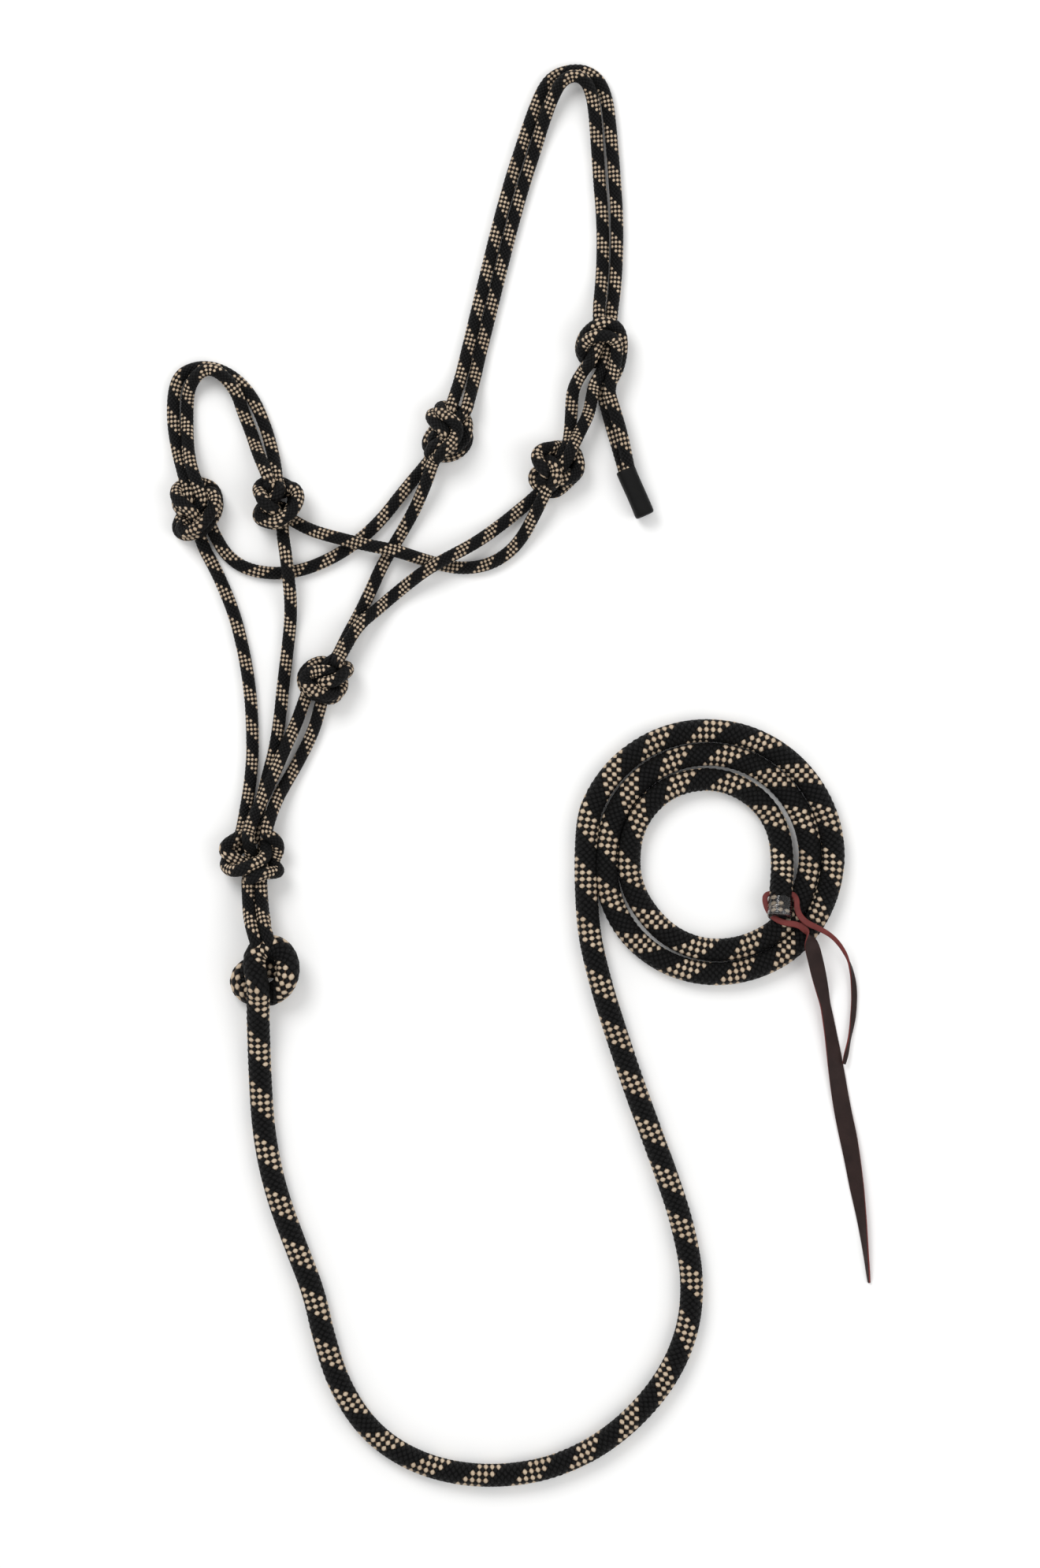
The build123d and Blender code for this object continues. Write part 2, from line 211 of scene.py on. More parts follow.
# painted shade on the black yarn in a pick's hollow and between its fibres
BLACK_HOLLOW_PAINTED_SHADE = (0.0012, 0.0012, 0.0013, 1)
GRAIN_WIDTH = 0.44  # half the size of a pick's visible grain, round the rope and along it
GRAIN_LENGTH = 0.33
GRAIN_RIM = (1.10, 0.84)  # between them, as shares of that size, a pick fades to its hollow: painted shade in its colour, and a dip in its bump
CROWN = (0.34, 0.88)  # and between these heights of the braid
TAN_OVERLAP = 0.05  # how far the tan picks spread over the black ones beside them
FIBRES_ACROSS = 16.0  # how often the fibres' noise changes in a strand's width
FIBRES_ALONG = 1.6  # and in the same length along it
FIBRE_RELIEF = 0.35  # bump of the fibres and of each pick, beside the braid's height
PICK_RELIEF = 0.8


def braid_height(u, v):
    """Height of the braid's surface, about -0.1 to WAVE + ROUND, with numpy."""
    along = u + v
    across = v - u
    light = np.round(across)
    dark = np.round(along)
    light_bulge = np.sqrt(1 - BULGE * (2 * (across - light)) ** 2)
    dark_bulge = np.sqrt(1 - BULGE * (2 * (along - dark)) ** 2)
    light_rise = WAVE * np.cos(np.pi * (along - light)) + ROUND * light_bulge
    dark_rise = -WAVE * np.cos(np.pi * (across - dark)) + ROUND * dark_bulge
    return np.maximum(light_rise, dark_rise)


def strand_rise(n, off, position, middle, wave):
    """Height of the strands of one hand, as in braid_height."""
    square = n.math("MULTIPLY", off, off)
    bulge = n.math("SQRT", n.math("MULTIPLY_ADD", square, -4 * BULGE, 1.0))
    turn = n.math("MULTIPLY", n.math("SUBTRACT", position, middle), math.pi)
    return n.math("MULTIPLY_ADD", bulge, ROUND, n.math("MULTIPLY", n.math("COSINE", turn), wave))


def rim_distance(n, position, middle, off):
    """How far a point is from the middle of its pick: 1 at the grain's rim."""
    beside = n.math("WRAP", n.math("SUBTRACT", position, middle), 1.0, -1.0)
    round_rope = n.math("MULTIPLY", n.math("SUBTRACT", beside, off), 0.5 / GRAIN_WIDTH)
    down_rope = n.math("MULTIPLY", n.math("ADD", beside, off), 0.5 / GRAIN_LENGTH)
    square = n.math("MULTIPLY", round_rope, round_rope)
    return n.math("SQRT", n.math("MULTIPLY_ADD", down_rope, down_rope, square))


def fibres(n, across_it, along_it):
    """Ridges along each strand, from noise that is stretched along it."""
    stretched = n.node("ShaderNodeCombineXYZ")
    n.put(stretched.inputs["X"], n.math("MULTIPLY", across_it, FIBRES_ACROSS))
    n.put(stretched.inputs["Y"], n.math("MULTIPLY", along_it, FIBRES_ALONG))
    return n.noise(scale=1.0, detail=3.0, vector=stretched.outputs[0], rough=0.65)


def yarn_colour(n, is_tan, raised_unshaded, fibre, tan_colours):
    """Tan that varies in wide patches, or black. Both get painted shade where a pick sinks into its
    hollow, and between its fibres.
    """
    patches = n.noise(scale=55.0, detail=2.0)
    warmth = n.math("MULTIPLY_ADD", n.math("SUBTRACT", patches, 0.5), 1.3, 0.35, clamp=True)
    # painted shade: the tan darkens to dark brown where a pick sinks into its hollow
    tan = n.mix(raised_unshaded, TAN_HOLLOW_PAINTED_SHADE, n.mix(warmth, *tan_colours))
    # painted shade between the fibres of a tan pick, where the fibre noise is low
    shade = n.math("MULTIPLY_ADD", fibre, 1.6, -0.45, clamp=True)
    tan_yarn = n.mix(0.6, n.mix(shade, TAN_FIBRE_PAINTED_SHADE, tan), tan)
    # painted shade: the black darkens further in a pick's hollow and between its fibres
    black_yarn = n.mix(n.math("MULTIPLY", raised_unshaded, fibre), BLACK_HOLLOW_PAINTED_SHADE, BLACK)
    return n.mix(is_tan, black_yarn, tan_yarn)


def braid_material(name, fibre_bump, tan_colours):
    """Tan picks among black ones, each made of fine fibres that run along its strand."""
    n = Nodes(name)
    u, v = n.uv("braid")
    along = n.math("ADD", u, v)
    across = n.math("SUBTRACT", v, u)
    light = n.math("ROUND", across)
    dark = n.math("ROUND", along)
    light_off = n.math("SUBTRACT", across, light)
    dark_off = n.math("SUBTRACT", along, dark)
    light_rise = strand_rise(n, light_off, along, light, WAVE)
    dark_rise = strand_rise(n, dark_off, across, dark, -WAVE)
    height = n.math("MAXIMUM", light_rise, dark_rise)
    light_on_top = n.math("GREATER_THAN", n.math("ADD", light_rise, TAN_OVERLAP), dark_rise)
    strand = n.math("FLOORED_MODULO", light, STRANDS)
    is_tan = n.math("MULTIPLY", n.math("LESS_THAN", strand, LIGHT_STRANDS - 0.5), light_on_top)
    light_rim = rim_distance(n, along, light, light_off)
    dark_rim = rim_distance(n, n.math("ADD", across, 1.0), dark, dark_off)
    rim = n.mix(light_on_top, dark_rim, light_rim, "FLOAT")
    fibre = n.mix(light_on_top, fibres(n, along, across), fibres(n, across, along), "FLOAT")
    # a pick stands high on its crown, and sinks towards its rim and where it dives under the next;
    # this mask gives its bump and where its colour gets painted shade
    raised_unshaded = n.math("MULTIPLY", n.ramp(height, *CROWN), n.ramp(rim, *GRAIN_RIM, "SMOOTHSTEP"))
    n.colour(yarn_colour(n, is_tan, raised_unshaded, fibre, tan_colours))
    n.shader.inputs["Sheen Weight"].default_value = 0.01
    n.shader.inputs["Sheen Roughness"].default_value = 0.4
    relief = n.math("MULTIPLY_ADD", raised_unshaded, PICK_RELIEF, height)
    relief = n.math("MULTIPLY_ADD", fibre, FIBRE_RELIEF, relief)
    roughness = n.math("MULTIPLY_ADD", fibre, 0.3, 0.42)
    return n.finish(roughness, specular=0.11, normal=n.bump(relief, fibre_bump, strength=0.9))


# ---------------- lines and meshes
SAME_POINT = 1e-9


def in_metres(points):
    return [(x * MM, y * MM, z * MM) for x, y, z in points]


def smooth_line(points):
    """Points along the NURBS spline that has these points as its control points."""
    data = bpy.data.curves.new("route", "CURVE")
    data.dimensions = "3D"
    spline = data.splines.new("NURBS")
    spline.points.add(len(points) - 1)
    for made, point in zip(spline.points, points):
        made.co = (*point, 1)
    spline.order_u = 3
    spline.use_endpoint_u = True
    spline.resolution_u = 16
    carrier = bpy.data.objects.new("route", data)
    mesh = bpy.data.meshes.new_from_object(carrier)
    line = np.array([vertex.co for vertex in mesh.vertices], float)
    bpy.data.objects.remove(carrier)
    bpy.data.curves.remove(data)
    bpy.data.meshes.remove(mesh)
    return line


def distances_along(line):
    runs = np.linalg.norm(np.diff(line, axis=0), axis=1)
    return np.concatenate([[0.0], np.cumsum(runs)])


def line_length(line):
    return float(distances_along(line)[-1])


def even_points(line, step):
    """The same line with points about one step apart."""
    moves = np.linalg.norm(np.diff(line, axis=0), axis=1) > SAME_POINT
    line = line[np.concatenate([[True], moves])]
    far = distances_along(line)
    count = max(4, int(round(far[-1] / step)))
    spots = np.linspace(0, far[-1], count + 1)
    return np.stack([np.interp(spots, far, line[:, k]) for k in range(3)], axis=1)


def unit(vectors):
    return vectors / np.linalg.norm(vectors, axis=-1, keepdims=True)


def level_side(ahead):
    return unit(np.cross(ahead, UP))


def section_frames(line):
    """Sideways and up at each point of a line, turning as little as they can.

    Both ends have their side level, so that lines that meet end to end match."""
    ahead = unit(np.gradient(line, axis=0))
    side = level_side(ahead[0])
    sides = [side]
    for now in ahead[1:]:
        side = unit(side - now * np.dot(side, now))
        sides.append(side)
    sides = np.array(sides)
    wanted = level_side(ahead[-1])
    up = np.cross(sides[-1], ahead[-1])
    error = math.atan2(float(np.dot(wanted, up)), float(np.dot(wanted, sides[-1])))
    far = np.linspace(0, 1, len(line))[:, None]
    turned = sides * np.cos(error * far) + np.cross(sides, ahead) * np.sin(error * far)
    return turned, np.cross(turned, ahead)


def quad_corners(rings, around, ring_steps, spot_steps):
    """For each quad between two rings, which rings its corners are on, and where on them."""
    ring, spot = np.meshgrid(np.arange(rings - 1), np.arange(around), indexing="ij")
    return ring.reshape(-1, 1) + ring_steps, spot.reshape(-1, 1) + spot_steps


def new_piece(name, points, faces, material):
    mesh = bpy.data.meshes.new(name)
    mesh.from_pydata(points, [], faces)
    mesh.polygons.foreach_set("use_smooth", np.ones(len(mesh.polygons), bool))
    mesh.materials.append(material)
    mesh.update()
    piece = bpy.data.objects.new(name, mesh)
    bpy.context.collection.objects.link(piece)
    return piece


def add_places(piece, layer_name, places):
    """A UV layer, from the place of each corner of each face."""
    layer = piece.data.uv_layers.new(name=layer_name)
    layer.data.foreach_set("uv", np.array(places, np.float32).ravel())


class Rope:
    """One kind of braided rope: its size, its mesh and its material."""

    def __init__(self, diameter, pick, around, relief, material):
        self.diameter = diameter
        self.pick = pick  # length of one pick along the rope
        self.around = around  # points round one ring
        self.relief = relief  # depth of the braid
        self.material = material
        self.step = pick / 4

    def tube(self, line):
        """Rings of points on the braid's surface, and where each point is in the braid."""
        repeats = max(1, round(line_length(line) / (self.pick * STRANDS)))
        line = even_points(line, self.step)
        sides, ups = section_frames(line)
        far = distances_along(line)
        share = far / far[-1]
        v = BRAID_START + share * repeats * STRANDS
        drift = BRAID_DRIFT * np.sin(np.pi * share) * np.sin(v / DRIFT_PICKS)
        turn = np.arange(self.around + 1) / self.around
        u = drift[:, None] - turn[None, :] * STRANDS
        v = np.repeat(v[:, None], self.around + 1, axis=1)
        angle = 2 * np.pi * turn
        angle = angle - CROWDING * np.sin(2 * angle)
        highest = WAVE + ROUND
        sunk = 1 - np.clip(braid_height(u, v), 0, highest) / highest
        radius = self.diameter / 2 - self.relief * sunk
        across = np.sin(angle)[None, :, None] * sides[:, None, :]
        upward = np.cos(angle)[None, :, None] * ups[:, None, :]
        points = line[:, None, :] + (across + upward) * radius[:, :, None]
        return points, u, v

    def mesh(self, name, lines):
        """One mesh object of a tube along each line, closed at both ends."""
        around = self.around
        points, faces, places, caps, cap_places = [], [], [], [], []
        for line in lines:
            surface, u, v = self.tube(line)
            base = len(points)
            ring, spot = quad_corners(len(surface), around, (0, 0, 1, 1), (0, 1, 1, 0))
            points += surface[:, :around].reshape(-1, 3).tolist()
            faces += (base + ring * around + spot % around).tolist()
            places += np.stack([u[ring, spot], v[ring, spot]], axis=-1).reshape(-1, 2).tolist()
            first = list(range(base, base + around))
            last = list(range(len(points) - around, len(points)))
            caps += [first[::-1], last]
            cap_places += [(u[0, 0] + 0.5, v[0, 0])] * around
            cap_places += [(u[-1, 0] + 0.5, v[-1, 0])] * around
        piece = new_piece(name, points, faces + caps, self.material)
        add_places(piece, "braid", places + cap_places)
        return piece


# ---------------- leather, sleeve and whipping
LOFT_CORNERS = ((0, 1, 1, 0), (0, 0, 1, 1))
THONG_STEP = 0.8 * MM
THONG_CUP = 0.10  # how hollow the leather lies across its width
FLOOR_GAP = 0.1 * MM  # below the leather


def superellipse(count, power):
    """Across and up, from -1 to 1, of a rounded rectangle that starts at its right side."""
    angle = 2 * np.pi * np.arange(count) / count
    across = np.sign(np.cos(angle)) * np.abs(np.cos(angle)) ** (2 / power)
    upward = np.sign(np.sin(angle)) * np.abs(np.sin(angle)) ** (2 / power)
    return np.stack([across, upward], axis=1)


def loft(name, line, sides, ups, sections, material):
    """A closed solid through one section, across and up, for each point of the line."""
    rings, around = sections.shape[:2]
    points = line[:, None] + sections[:, :, :1] * sides[:, None] + sections[:, :, 1:] * ups[:, None]
    ring, spot = quad_corners(rings, around, *LOFT_CORNERS)
    faces = (ring * around + spot % around).tolist()
    faces.append(list(range(around)))
    faces.append(list(reversed(range((rings - 1) * around, rings * around))))
    return new_piece(name, points.reshape(-1, 3).tolist(), faces, material)


def straight_loft(name, start, heading, spots, sections, material):
    """A loft whose rings all face one way, so that its surface may double back."""
    line = start + heading * np.array(spots)[:, None]
    sides = np.tile(level_side(heading), (len(line), 1))
    return loft(name, line, sides, np.cross(sides, heading), np.array(sections), material)


def add_grain(piece, line, around):
    """A UV layer of the share of the way round a loft, and millimetres along it."""
    far = distances_along(line) / MM
    ring, spot = quad_corners(len(line), around, *LOFT_CORNERS)
    places = np.stack([spot / around, far[ring]], axis=-1).reshape(-1, 2).tolist()
    places += [(spot / around, far[0]) for spot in range(around)]
    places += [(spot / around, far[-1]) for spot in reversed(range(around))]
    add_places(piece, "grain", places)


def eased(values):
    """The values with their corners rounded off, over a few points."""
    reach = 4
    window = np.ones(2 * reach + 1) / (2 * reach + 1)
    return np.convolve(np.pad(values, reach, mode="edge"), window, mode="valid")


def make_thong(name, route, shape, material):
    """A strip of leather whose width and turn change along it."""
    line = even_points(smooth_line(in_metres(route)), THONG_STEP)
    share = np.linspace(0, 1, len(line))
    shares, widths, turns = zip(*shape)
    half_width = np.interp(share, shares, widths) * MM / 2
    half_thickness = np.minimum(LEATHER * MM / 2, half_width)
    half_width = eased(half_width)
    turn = eased(np.interp(share, shares, np.radians(turns)))
    section = superellipse(count=28, power=4.5)
    across = section[None, :, 0] * half_width[:, None]
    cupped = THONG_CUP * half_width[:, None] * (section[None, :, 0] ** 2 - 0.5)
    upward = section[None, :, 1] * half_thickness[:, None] + cupped
    cosine, sine = np.cos(turn)[:, None], np.sin(turn)[:, None]
    sections = np.stack([across * cosine - upward * sine, across * sine + upward * cosine], axis=2)
    lowest = line[:, 2] + sections[:, :, 1].min(axis=1)
    line[:, 2] += np.maximum(0, FLOOR_GAP - lowest)
    piece = loft(name, line, *section_frames(line), sections, material)
    add_grain(piece, line, len(section))
    return piece


def leather_material():
    """Dark on the grain side, red-brown on its edges and back."""
    n = Nodes("leather")
    around, _ = n.uv("grain")
    from_grain_side = n.math("ABSOLUTE", n.math("SUBTRACT", around, 0.25))
    on_back = n.ramp(from_grain_side, 0.185, 0.235, "SMOOTHSTEP")
    blotches = n.noise(scale=90.0, detail=4.0)
    pores = n.noise(scale=2600.0, detail=3.0)
    grain = n.mix(blotches, (0.010, 0.005, 0.0045, 1), (0.034, 0.018, 0.016, 1))
    back = n.mix(blotches, (0.085, 0.016, 0.015, 1), (0.19, 0.040, 0.036, 1))
    n.colour(n.mix(on_back, grain, back))
    roughness = n.math("MULTIPLY_ADD", pores, 0.3, 0.36)
    relief = n.bump(n.math("ADD", pores, blotches), distance=0.00018, strength=0.8)
    return n.finish(roughness, specular=0.15, normal=relief)


def sleeve_material():
    n = Nodes("black_sleeve")
    fine = n.noise(scale=1900.0, detail=3.0)
    wide = n.noise(scale=160.0, detail=2.0)
    n.colour(n.mix(wide, (0.0016, 0.0016, 0.0015, 1), (0.0045, 0.0045, 0.0042, 1)))
    roughness = n.math("MULTIPLY_ADD", fine, 0.25, 0.5)
    relief = n.bump(n.math("MULTIPLY_ADD", fine, 0.5, wide), distance=0.0003, strength=0.8)
    return n.finish(roughness, specular=0.15, normal=relief)


def whipping_material():
    n = Nodes("clear_whipping")
    ripple = n.noise(scale=420.0, detail=2.0)
    n.colour((0.95, 0.97, 1.0, 1))
    n.shader.inputs["IOR"].default_value = 1.47
    n.shader.inputs["Transmission Weight"].default_value = 1.0
    relief = n.bump(ripple, distance=0.0004, strength=0.6)
    return n.finish(roughness=0.09, specular=0.5, normal=relief)


def make_sleeve(material):
    """A snug tube over the two cords: soft rims, and an end that sinks in a little."""
    start, end = np.array(in_metres([SLEEVE_TOP, SLEEVE_END]))
    whole = np.linalg.norm(end - start)
    # how far along, and what is left of the section there
    rim = [(2.0, -0.20), (0.3, -0.16), (0.0, -0.09), (0.25, -0.02), (1.0, 0.0)]
    tip = [(1.2, -0.01), (0.55, -0.045), (0.15, -0.11), (0.0, -0.20), (0.25, -0.34), (0.6, -0.5)]
    stations = [(spot * MM, inset) for spot, inset in rim]
    stations += [(spot, 0.0) for spot in np.linspace(1.8 * MM, whole - 2.2 * MM, 26)]
    stations += [(whole - spot * MM, inset) for spot, inset in tip]
    around = 56
    shape = superellipse(around, power=3.0) * np.array((SLEEVE_WIDTH, SLEEVE_HEIGHT)) * MM / 2
    angle = 2 * np.pi * np.arange(around) / around
    sections = []
    for spot, inset in stations:
        dent = 0.012 * math.sin(spot / (4.3 * MM)) * np.cos(3 * angle)
        waist = 0.02 * math.sin(math.pi * spot / whole)
        sections.append(shape * (1 + inset - waist + dent)[:, None])
    spots = [spot for spot, _ in stations]
    return straight_loft("tail_sleeve_skin", start, (end - start) / whole, spots, sections, material)


def make_whipping(material):
    """A clear glossy band with a rounded lip, over the cut end of the rope."""
    start, end = np.array(in_metres([WHIPPING_TOP, WHIPPING_TIP]))
    whole = np.linalg.norm(end - start)
    inner = LEAD / 2 + 0.02 * MM
    wall = WHIPPING_WALL * MM
    # share of the way along, and radius: up over the band, round its lip and back inside
    stations = [(0.02, inner), (0.0, inner + 0.4 * wall), (0.03, inner + 0.9 * wall)]
    for spot in np.linspace(0.06, 0.90, 40):
        ripple = 0.06 * MM * math.sin(2 * math.pi * spot * whole / (1.5 * MM))
        stations.append((spot, inner + wall + ripple))
    stations += [(0.95, inner + 0.7 * wall), (0.99, inner - 0.3 * MM), (1.0, inner - 1.2 * MM)]
    stations += [(0.985, inner - 2.2 * MM), (0.96, inner - 2.6 * MM)]
    stations += [(0.95, inner - 2.2 * MM), (0.955, inner - 0.6 * MM), (0.93, inner), (0.5, inner)]
    circle = superellipse(count=72, power=2.0)
    sections = [circle * radius for _, radius in stations]
    spots = [spot * whole for spot, _ in stations]
    heading = (end - start) / whole
    return straight_loft("lead_end_whipping_band", start, heading, spots, sections, material)


# ---------------- knots
# A knot is the rope itself, along listed strands that are then settled on each other.
LEAD_IN = 4.0  # millimetres that a knot's strand keeps the line of its cord
MEETING = 1.0  # millimetres from a cord's end within which a strand's end joins it
SPACING = 0.36  # of the rope's diameter, between the points that are settled
HELD = 3  # points at each end that stay where they are
OWN_STRETCH = 1.9  # diameters along a strand within which it doesn't push itself away
CLEARANCE = 0.97  # diameters between the middles of two strands that touch
PUSH = 0.28  # share of what two strands overlap by that each step takes away
LONGEST_PUSH = 0.12  # of the rope's diameter, in one step
SETTLING_STEPS = 160
TENSION = 0.16  # share of the way to straight that a strand is drawn at each step
HOLD = 0.09  # share of the way back to where it was laid, seen from above


def meeting_point(end, cords):
    """Just inside a knot, in line with the cord that ends where this strand does."""
    for route in cords:
        for tip, neighbour in ((route[0], route[1]), (route[-1], route[-2])):
            if math.dist(tip, end) < MEETING:
                reach = LEAD_IN / math.dist(tip, neighbour)
                return tuple(t + (t - n) * reach for t, n in zip(tip, neighbour))
    return None


def join_cords(route, cords):
    """The strand's route with a point at each end that leads on from the cord outside."""
    first = meeting_point(route[0], cords)
    last = meeting_point(route[-1], cords)
    joined = list(route)
    if first:
        joined.insert(1, first)
    if last:
        joined.insert(-1, last)
    return joined


def pushes(points, near, diameter):
    """How far each point is moved away from those that it is too near."""
    gap = points[:, None, :] - points[None, :, :]
    reach = np.linalg.norm(gap, axis=2) + SAME_POINT
    overlap = np.where(near, 0, np.maximum(0, CLEARANCE * diameter - reach))
    push = (gap / reach[:, :, None] * overlap[:, :, None]).sum(axis=1) * PUSH
    size = np.maximum(np.linalg.norm(push, axis=1, keepdims=True), SAME_POINT)
    return push * np.minimum(1, LONGEST_PUSH * diameter / size)


def settle(lines, diameter, ceiling):
    """Moves the strands of a knot apart where they lie in each other, and draws them tight."""
    strands = [even_points(line, SPACING * diameter) for line in lines]
    counts = [len(strand) for strand in strands]
    points = np.concatenate(strands)
    home = points.copy()
    owner = np.repeat(np.arange(len(strands)), counts)
    order = np.concatenate([np.arange(count) for count in counts])
    held = np.concatenate([(np.arange(c) < HELD) | (np.arange(c) >= c - HELD) for c in counts])
    same = owner[:, None] == owner[None, :]
    near = same & (np.abs(order[:, None] - order[None, :]) * SPACING < OWN_STRETCH)
    inner = np.flatnonzero(~held)
    for _ in range(SETTLING_STEPS):
        points = points + np.where(held[:, None], 0, pushes(points, near, diameter))
        drawn = points.copy()
        drawn[inner] += TENSION * ((points[inner - 1] + points[inner + 1]) / 2 - points[inner])
        drawn[inner, :2] += HOLD * (home[inner, :2] - points[inner, :2])
        points = drawn
        points[:, 2] = np.clip(points[:, 2], diameter / 2, ceiling - diameter / 2)
    return [smooth_line(strand) for strand in np.split(points, np.cumsum(counts)[:-1])]

# ---------------- routes
# In millimetres, as (x, y, height of the cord's middle).
# Over the nose from the left nose knot to the right one: the outer cord, on the ground.
NOSEBAND_OUTER = [
    (-140.5, 27, 12.8), (-143, 38.5, 9), (-147.5, 53.5, 4.6), (-150.5, 73, 4.1), (-150, 91.5, 4.1),
    (-146, 102.5, 4.1), (-136, 107, 4.1), (-125.5, 107, 4.1), (-115.5, 103, 4.1), (-107, 96.5, 4.1),
    (-98.5, 85.5, 4.1), (-92, 70, 4.1), (-87.5, 54.5, 4.6), (-85.5, 45, 8.5), (-84.5, 38, 11.5),
]
# The inner cord of the noseband rides on the outer one at both knots and over the arch.
NOSEBAND_INNER = [
    (-132.5, 27, 14.5), (-136.5, 38, 15.5), (-139.5, 48.5, 13), (-141, 60.5, 8), (-141.5, 76.5, 4.4),
    (-141, 90.5, 5), (-137.5, 98.5, 9), (-132.5, 103.5, 12.6), (-126, 105.5, 12.8), (-119, 102, 12.7),
    (-113.5, 96, 12), (-109, 89, 9.5), (-106, 79, 5.5), (-101, 66.5, 4.6), (-97, 54.5, 8.5),
    (-93, 45, 14.5), (-90, 38, 17.5),
]
# Left nose knot down to the fiador knot.
JAW_LEFT = [
    (-134.5, 4.5, 4.3), (-131.5, -6.5, 4.2), (-125.5, -17, 4.1), (-119, -30.5, 4.1),
    (-111, -50.5, 4.1), (-105, -75.5, 4.1), (-101.5, -98, 4.1), (-100, -120.5, 4.1),
    (-100, -143.5, 4.1), (-102.5, -163.5, 4.6), (-105, -178, 6.5), (-106.5, -186, 8),
]
# Right nose knot down to the fiador knot, over the left cheek cord.
JAW_RIGHT = [
    (-81, 7.5, 4.5), (-80.5, -1, 8.5), (-78.5, -11.5, 13.6), (-76.5, -28.5, 13.8), (-75.5, -42.5, 8.5),
    (-76, -55.5, 4.3), (-78, -73.5, 4.1), (-80.5, -93.5, 4.1), (-82.5, -114, 4.1),
    (-85.5, -133.5, 4.1), (-91, -154.5, 4.1), (-95.5, -172.5, 5), (-98, -186, 7),
]
# Left nose knot to the left throat knot, on the ground all the way.
CHEEK_LEFT = [
    (-127.5, 8.5, 4.3), (-122.5, -2.5, 4.3), (-116, -12.5, 4.2), (-105, -20.5, 4.2), (-88, -24, 4.1),
    (-69.5, -22, 4.1), (-50.5, -14.5, 4.1), (-34, -4, 4.1), (-20, 8.5, 4.1), (-8, 23.5, 4.1),
    (2, 36, 4.3), (7, 41.5, 5), (11, 46.5, 6.5),
]
# Right nose knot to the right throat knot, over the left cheek and left throat cords.
CHEEK_RIGHT = [
    (-73.5, 9.5, 4.5), (-64.5, 4, 9), (-50, -0.5, 13.6), (-30, -5.5, 13.8), (-9, -9.5, 13.8),
    (5, -14, 8.5), (17, -17.5, 4.3), (31.5, -20.5, 4.1), (47, -19, 4.1), (61, -12, 4.1),
    (70.5, -1.5, 5.5), (77, 10, 9.5), (82, 20, 12.8), (86, 28, 14),
]
# Left throat knot down to the chin knot.
THROAT_LEFT = [
    (14, 44.5, 14.2), (11.5, 37, 13.2), (8.5, 29.5, 12), (3, 17, 7), (-6.5, 0.5, 4.3),
    (-17, -16.5, 4.1), (-25.5, -35.5, 4.1), (-33, -51, 4.1), (-39.5, -62.5, 5), (-45.5, -75, 7),
]
# Right throat knot down to the chin knot, over the right cheek cord.
THROAT_RIGHT = [
    (84, 29.5, 5), (78, 24, 4.5), (71.5, 18.5, 4.2), (58, 7.5, 4.2), (43, -3.5, 8.5),
    (29, -11.5, 13.8), (13.5, -19.5, 13.9), (0, -29, 8.5), (-13, -39.5, 4.6), (-22.5, -48, 8),
    (-31, -55, 13.2), (-38, -65, 14.2), (-43.5, -75.5, 15.5),
]
# Chin knot down to the fiador knot, climbing onto the right jaw cord.
CHIN_LEFT = [
    (-66.5, -102.5, 5), (-69.5, -111, 5.3), (-73, -120.5, 6.5), (-78.5, -133, 10.8),
    (-84.5, -147.5, 12.9), (-92, -164, 13), (-99, -178, 14.5), (-101.5, -186, 16.3),
]
# The second cord from the chin knot to the fiador knot.
CHIN_RIGHT = [
    (-56.5, -106, 5), (-58.5, -114, 4.5), (-62.5, -126, 4.2), (-70.5, -142, 4.2), (-78.5, -156, 5.5),
    (-84, -166, 9), (-88.5, -178, 13.5), (-90.5, -186, 15.3),
]
# Left throat knot over the poll to the crown tie: the outer cord, on the ground.
CROWN_OUTER = [
    (26, 81, 12), (28, 88, 9), (31, 96.5, 5.5), (35.5, 114.5, 4.1), (40.5, 135.5, 4.1),
    (47.5, 164, 4.1), (54, 190.5, 4.1), (62, 220.5, 4.1), (70.5, 247, 4.1), (77.5, 267.5, 4.1),
    (83.5, 282.5, 4.1), (90.5, 291.5, 4.1), (100, 295, 4.1), (110.5, 295, 4.1), (119, 290, 4.1),
    (124.5, 278, 4.1), (127, 257, 4.1), (129, 232, 4.1), (131, 204.5, 4.1), (131, 178, 4.1),
    (129.5, 154.5, 4.1), (128, 146, 4.3), (127.5, 140, 5),
]
# The inner crown cord rides on the outer one over the poll and into the tie.
CROWN_INNER = [
    (36, 81, 13), (38, 89, 10), (40, 96.5, 5.5), (44, 114.5, 4.1), (49, 134.5, 4.1), (56, 163, 4.1),
    (62.5, 189, 4.1), (70.5, 218.5, 4.1), (79, 244.5, 4.3), (84.5, 262.5, 6.5), (90, 277, 10.5),
    (95.5, 287, 12.9), (103, 291, 13), (110.5, 288.5, 12.8), (115, 279.5, 10.5), (117, 266, 7.5),
    (118.5, 245.5, 4.5), (120, 222.5, 4.1), (122, 199, 4.1), (122, 173, 4.1), (120.5, 153.5, 6.5),
    (119.5, 146, 9.5), (119.5, 140, 11.5),
]
# The two legs of the eye that the crown is tied to, from the right throat knot.
EYE_LEFT = [
    (100.5, 61, 9.5), (101.4, 68, 8.5), (102, 78, 8.2), (102.4, 88, 9), (104.2, 95.5, 10.2),
    (107.2, 100.5, 10.8),
]
# The second leg of the eye lies a little higher.
EYE_RIGHT = [
    (105, 60.5, 15), (107.5, 66, 13.5), (111.2, 73, 12.6), (113.6, 80, 12.2), (114.8, 87, 11.8),
    (116, 93, 11),
]
